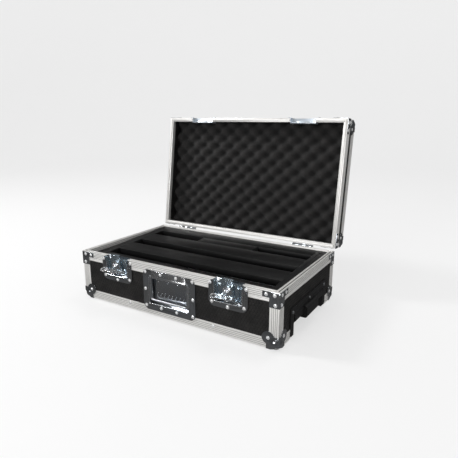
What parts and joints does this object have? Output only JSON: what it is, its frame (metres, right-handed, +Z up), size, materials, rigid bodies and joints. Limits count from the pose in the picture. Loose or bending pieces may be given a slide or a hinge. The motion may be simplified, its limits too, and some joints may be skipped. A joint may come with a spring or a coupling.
{
  "type": "pedalboard flight case",
  "caption": "Trolley flight case with a hinged, foam-lined lid and a slatted, gently sloped pedalboard set in its base.",
  "frame": {"origin": "centre of the bounding box at floor level, lid open", "axes": "+X along the case towards the pull-out handle, +Y from the front to the hinges, +Z up"},
  "size_m": [0.6694, 0.5523, 0.5299],
  "materials": {
    "laminated_ply": "black hexagon-embossed laminate on birch plywood",
    "aluminium": "mill-finish ribbed extrusion",
    "zinc_steel": "bright zinc plated pressed steel",
    "blue_zinc": "blue passivated zinc",
    "steel": "plated steel",
    "black_plastic": "moulded, fine texture",
    "wheel_rubber": "polyurethane",
    "board_black": "black anodised, lengthwise grain",
    "foam": "charcoal egg-crate foam",
    "batten_wood": "black stained softwood"
  },
  "bodies": {
    "case": {"base_bottom_panel": "laminated_ply", "base_front_panel": "laminated_ply", "base_back_panel": "laminated_ply", "base_left_panel": "laminated_ply", "base_right_panel": "laminated_ply", "base_rim_front": "aluminium", "base_rim_back": "aluminium", "base_rim_ends": "aluminium", "base_corner_angles": "aluminium", "base_bottom_angles": "aluminium", "base_ball_corners": "zinc_steel", "base_brace_corners": "zinc_steel", "latch_dishes": "zinc_steel", "latch_pivot_pins": "steel", "latch_springs": "blue_zinc", "handle_dish": "zinc_steel", "handle_hinge_strap": "zinc_steel", "trolley_housing": "black_plastic", "trolley_screws": "zinc_steel", "trolley_outer_tubes": "steel", "trolley_brackets": "steel", "wheel_housings": "black_plastic", "wheel_axles": "steel", "board_slats": "board_black", "board_bridge": "board_black", "board_end_rails": "board_black", "board_battens": "batten_wood", "board_screws": "board_black", "hinge_base_leaves": "steel", "hinge_pins": "steel", "base_rivets": "zinc_steel"},
    "lid": {"lid_ball_corners": "zinc_steel", "lid_brace_corners": "zinc_steel", "lid_latch_dishes": "blue_zinc", "lid_top_panel": "laminated_ply", "lid_front_panel": "laminated_ply", "lid_back_panel": "laminated_ply", "lid_end_panels": "laminated_ply", "lid_rim_front": "aluminium", "lid_rim_back": "aluminium", "lid_rim_ends": "aluminium", "lid_angles": "aluminium", "lid_foam": "foam", "lid_rivets": "zinc_steel", "hinge_lid_leaves": "steel"},
    "handle_bail": {"handle_bail": "steel"},
    "trolley_stage": {"trolley_mid_tubes": "steel"},
    "trolley_grip": {"trolley_rods": "steel", "trolley_grip": "black_plastic"},
    "trolley_button": {"trolley_button": "black_plastic"},
    "wheel_front": {"wheel_front": "wheel_rubber"},
    "wheel_rear": {"wheel_rear": "wheel_rubber"},
    "latch_left_carrier": {"latch_carrier_left": "blue_zinc"},
    "latch_left_hook": {"latch_hook_left": "blue_zinc"},
    "latch_left_spindle": {"latch_spindle_left": "steel"},
    "latch_left_wing": {"latch_wing_left": "blue_zinc"},
    "latch_right_carrier": {"latch_carrier_right": "blue_zinc"},
    "latch_right_hook": {"latch_hook_right": "blue_zinc"},
    "latch_right_spindle": {"latch_spindle_right": "steel"},
    "latch_right_wing": {"latch_wing_right": "blue_zinc"}
  },
  "joints": [
    {"name": "lid_hinge", "type": "hinge", "parent": "case", "child": "lid", "pos_m": [0.00325, 0.14864, 0.148], "axis": [1, 0, 0], "range_deg": [0, 98]},
    {"name": "carry_handle_swing", "type": "hinge", "parent": "case", "child": "handle_bail", "pos_m": [0.00325, -0.23336, 0.1145], "axis": [-1, 0, 0], "range_deg": [0, 95]},
    {"name": "trolley_stage_slide", "type": "slide", "parent": "case", "child": "trolley_stage", "axis": [1, 0, 0], "range_m": [0, 0.34]},
    {"name": "trolley_grip_slide", "type": "slide", "parent": "trolley_stage", "child": "trolley_grip", "axis": [1, 0, 0], "range_m": [0, 0.34]},
    {"name": "trolley_button_press", "type": "slide", "parent": "trolley_grip", "child": "trolley_button", "axis": [0, 0, 1], "range_m": [0, 0.003], "stiffness_N_per_m": 400, "springref_m": -0.004},
    {"name": "wheel_front_spin", "type": "hinge", "parent": "case", "child": "wheel_front", "pos_m": [-0.30475, -0.15586, 0.031], "axis": [0, 1, 0], "continuous": true},
    {"name": "wheel_rear_spin", "type": "hinge", "parent": "case", "child": "wheel_rear", "pos_m": [-0.30475, 0.06414, 0.031], "axis": [0, 1, 0], "continuous": true},
    {"name": "latch_left_tilt", "type": "hinge", "parent": "case", "child": "latch_left_carrier", "pos_m": [-0.17975, -0.22586, 0.101], "axis": [-1, 0, 0], "range_deg": [0, 14], "stiffness_Nm_per_rad": 0.08, "springref_deg": -34.38},
    {"name": "latch_left_turn", "type": "hinge", "parent": "latch_left_carrier", "child": "latch_left_spindle", "pos_m": [-0.17975, -0.2419, 0.12483], "axis": [0, -0.9703, -0.2419], "range_deg": [0, 180]},
    {"name": "latch_left_draw", "type": "slide", "parent": "latch_left_carrier", "child": "latch_left_hook", "axis": [0, 0.2419, -0.9703], "range_m": [0, 0.0036]},
    {"name": "latch_left_fold", "type": "hinge", "parent": "latch_left_spindle", "child": "latch_left_wing", "pos_m": [-0.17975, -0.2419, 0.12483], "axis": [-1, 0, 0], "range_deg": [0, 90]},
    {"name": "latch_right_tilt", "type": "hinge", "parent": "case", "child": "latch_right_carrier", "pos_m": [0.18625, -0.22586, 0.101], "axis": [-1, 0, 0], "range_deg": [0, 14], "stiffness_Nm_per_rad": 0.08, "springref_deg": -34.38},
    {"name": "latch_right_turn", "type": "hinge", "parent": "latch_right_carrier", "child": "latch_right_spindle", "pos_m": [0.18625, -0.2419, 0.12483], "axis": [0, -0.9703, -0.2419], "range_deg": [0, 180]},
    {"name": "latch_right_draw", "type": "slide", "parent": "latch_right_carrier", "child": "latch_right_hook", "axis": [0, 0.2419, -0.9703], "range_m": [0, 0.0036]},
    {"name": "latch_right_fold", "type": "hinge", "parent": "latch_right_spindle", "child": "latch_right_wing", "pos_m": [0.18625, -0.2419, 0.12483], "axis": [-1, 0, 0], "range_deg": [0, 90]}
  ],
  "couplings": [
    {"joint": "latch_left_draw", "follows": "latch_left_turn", "m_per_rad": 0.0011459},
    {"joint": "latch_right_draw", "follows": "latch_right_turn", "m_per_rad": 0.0011459}
  ]
}
